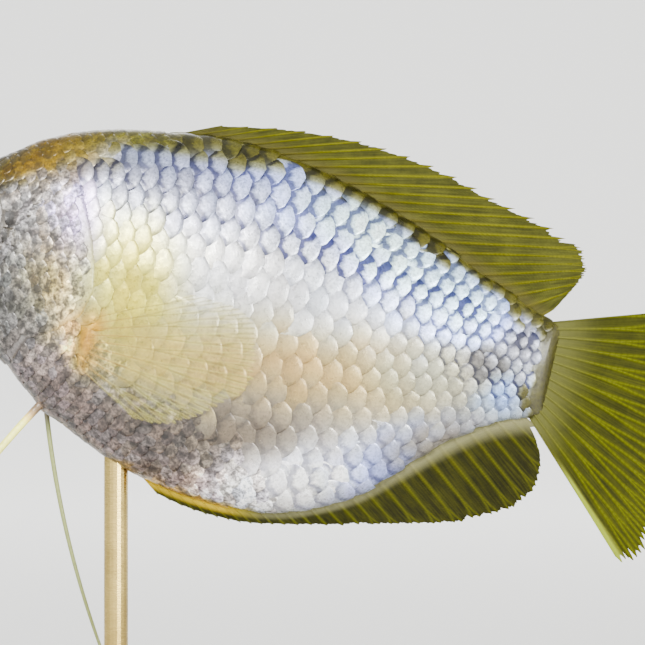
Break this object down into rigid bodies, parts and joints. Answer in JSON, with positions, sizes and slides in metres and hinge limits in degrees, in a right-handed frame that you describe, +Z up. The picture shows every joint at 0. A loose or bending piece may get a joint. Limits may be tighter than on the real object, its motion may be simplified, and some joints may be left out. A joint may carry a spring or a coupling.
{
  "type": "dwarf gourami",
  "caption": "Life-size still model of a swimming female dwarf gourami, held by one upright rod over a flat rectangular base.",
  "frame": {"origin": "centre of the stand base's underside, on the surface that it stands on", "axes": "+Z up, +X towards the fish's tail along the base's long side, -Y towards the fish's left side"},
  "size_m": [0.0673, 0.03, 0.0562],
  "materials": {
    "silver_flesh": "wet silvery scales with a blue sheen",
    "head_flesh": "wet scaled skin, brown above and pearly on the gill cover",
    "fin_membrane": "thin olive-yellow fin membrane over bony rays",
    "pelvic_ray": "cream-white feeler",
    "eye": "clear wet eye, dark pupil in a silver and orange iris",
    "stand_wood": "dark satin-varnished hardwood",
    "stand_brass": "polished"
  },
  "bodies": {
    "root": {"head": "head_flesh", "gill_cover_left": "head_flesh", "gill_cover_right": "head_flesh", "eye_left": "eye", "eye_right": "eye", "torso": "silver_flesh", "tail": "silver_flesh", "dorsal_fin": "fin_membrane", "anal_fin": "fin_membrane", "caudal_fin": "fin_membrane", "pectoral_fin_left": "fin_membrane", "pectoral_fin_right": "fin_membrane", "pelvic_fin_left": "pelvic_ray", "pelvic_fin_right": "pelvic_ray", "stand_base": "stand_wood", "stand_rod": "stand_brass"}
  },
  "joints": []
}
